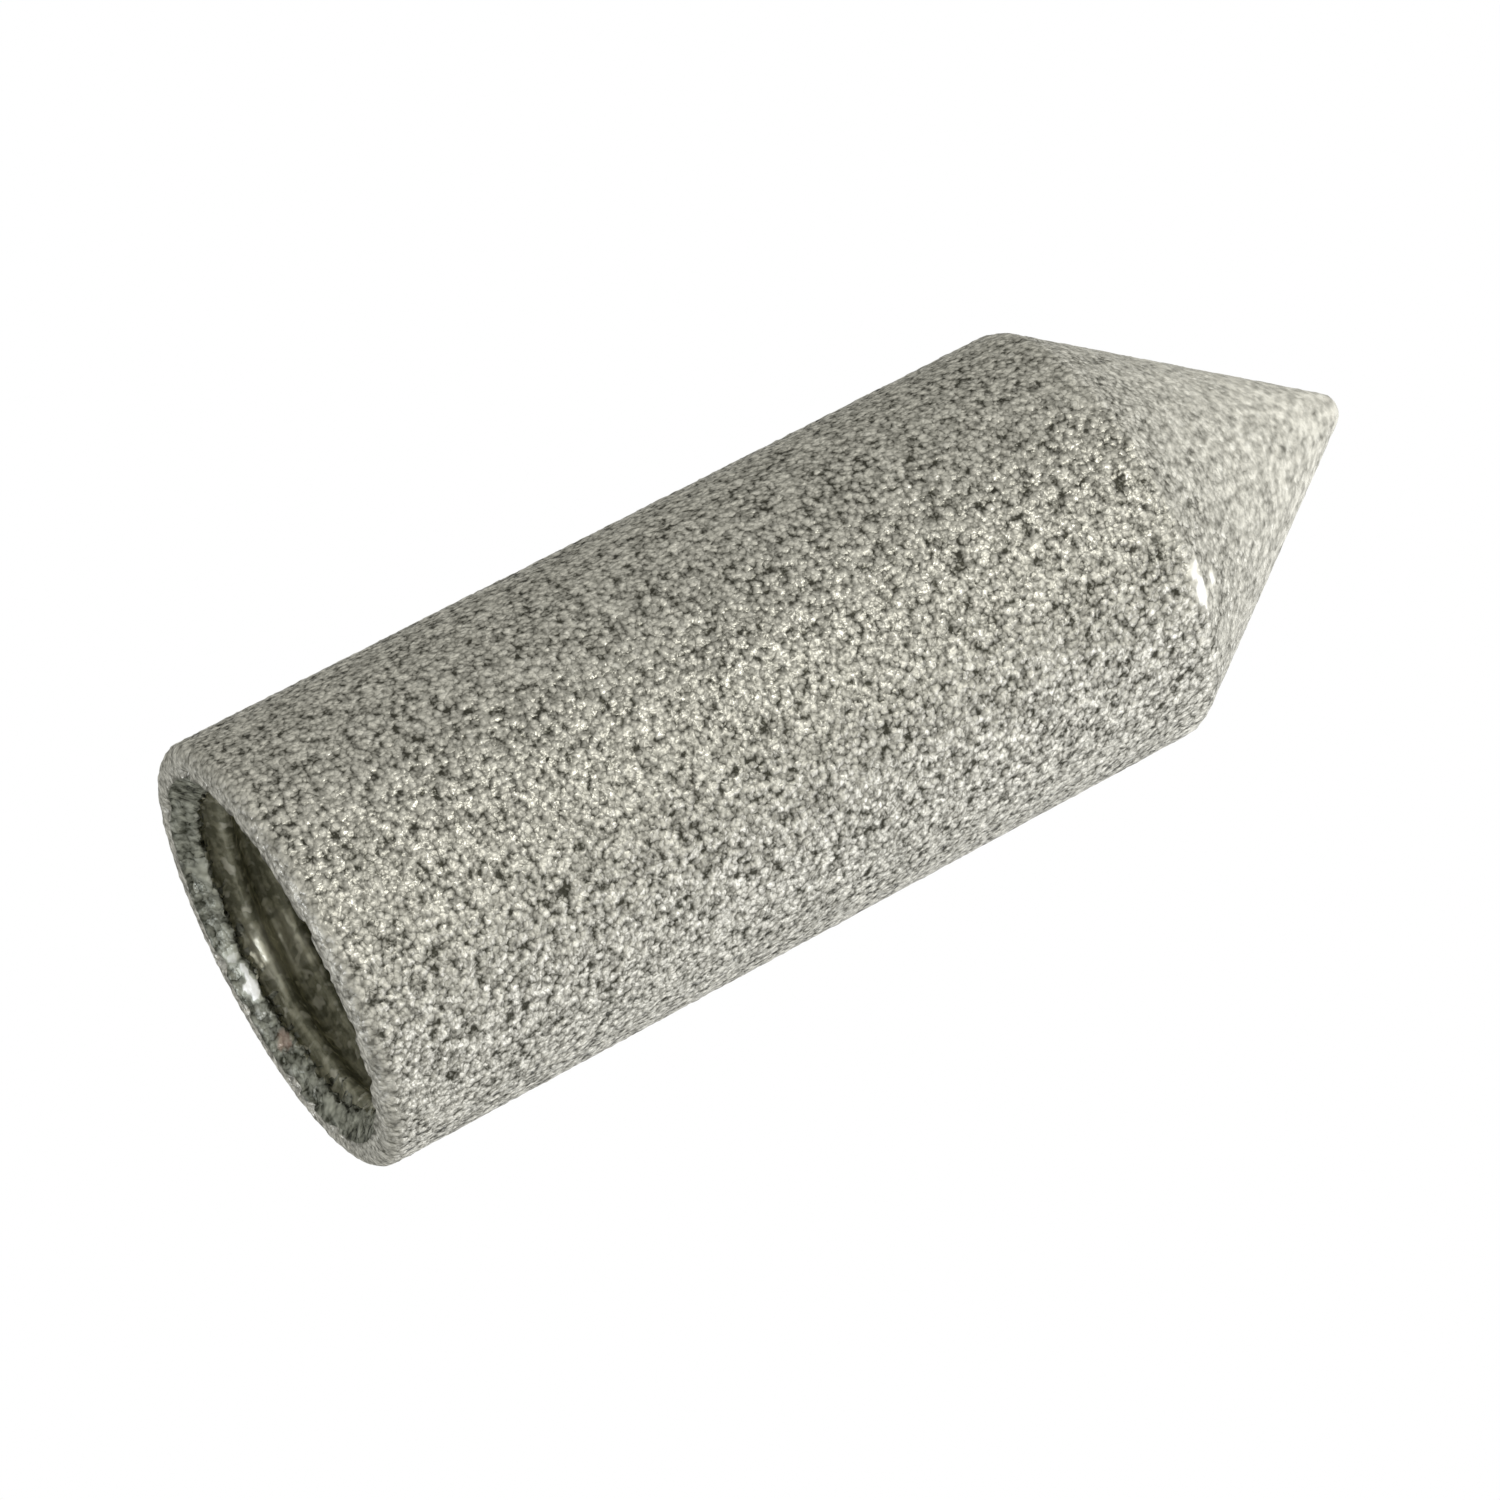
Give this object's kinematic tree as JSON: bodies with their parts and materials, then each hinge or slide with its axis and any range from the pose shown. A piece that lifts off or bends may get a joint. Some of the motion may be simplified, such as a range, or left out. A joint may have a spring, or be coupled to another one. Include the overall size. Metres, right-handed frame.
{
  "type": "sintered filter element",
  "caption": "Porous sintered steel filter thimble with a straight barrel, a closed conical nose and an open mouth with an internal thread, for the tip of a gas sampling probe.",
  "frame": {"origin": "centre of the flat ring at the open mouth, which the element stands on", "axes": "+Z along the axis from the mouth to the nose; X and Y lie in the plane of the mouth"},
  "size_m": [0.012, 0.012, 0.0334],
  "materials": {
    "sintered_steel": "porous sintered stainless steel with an open, sparkling grain"
  },
  "bodies": {
    "root": {"filter_element": "sintered_steel"}
  },
  "joints": []
}
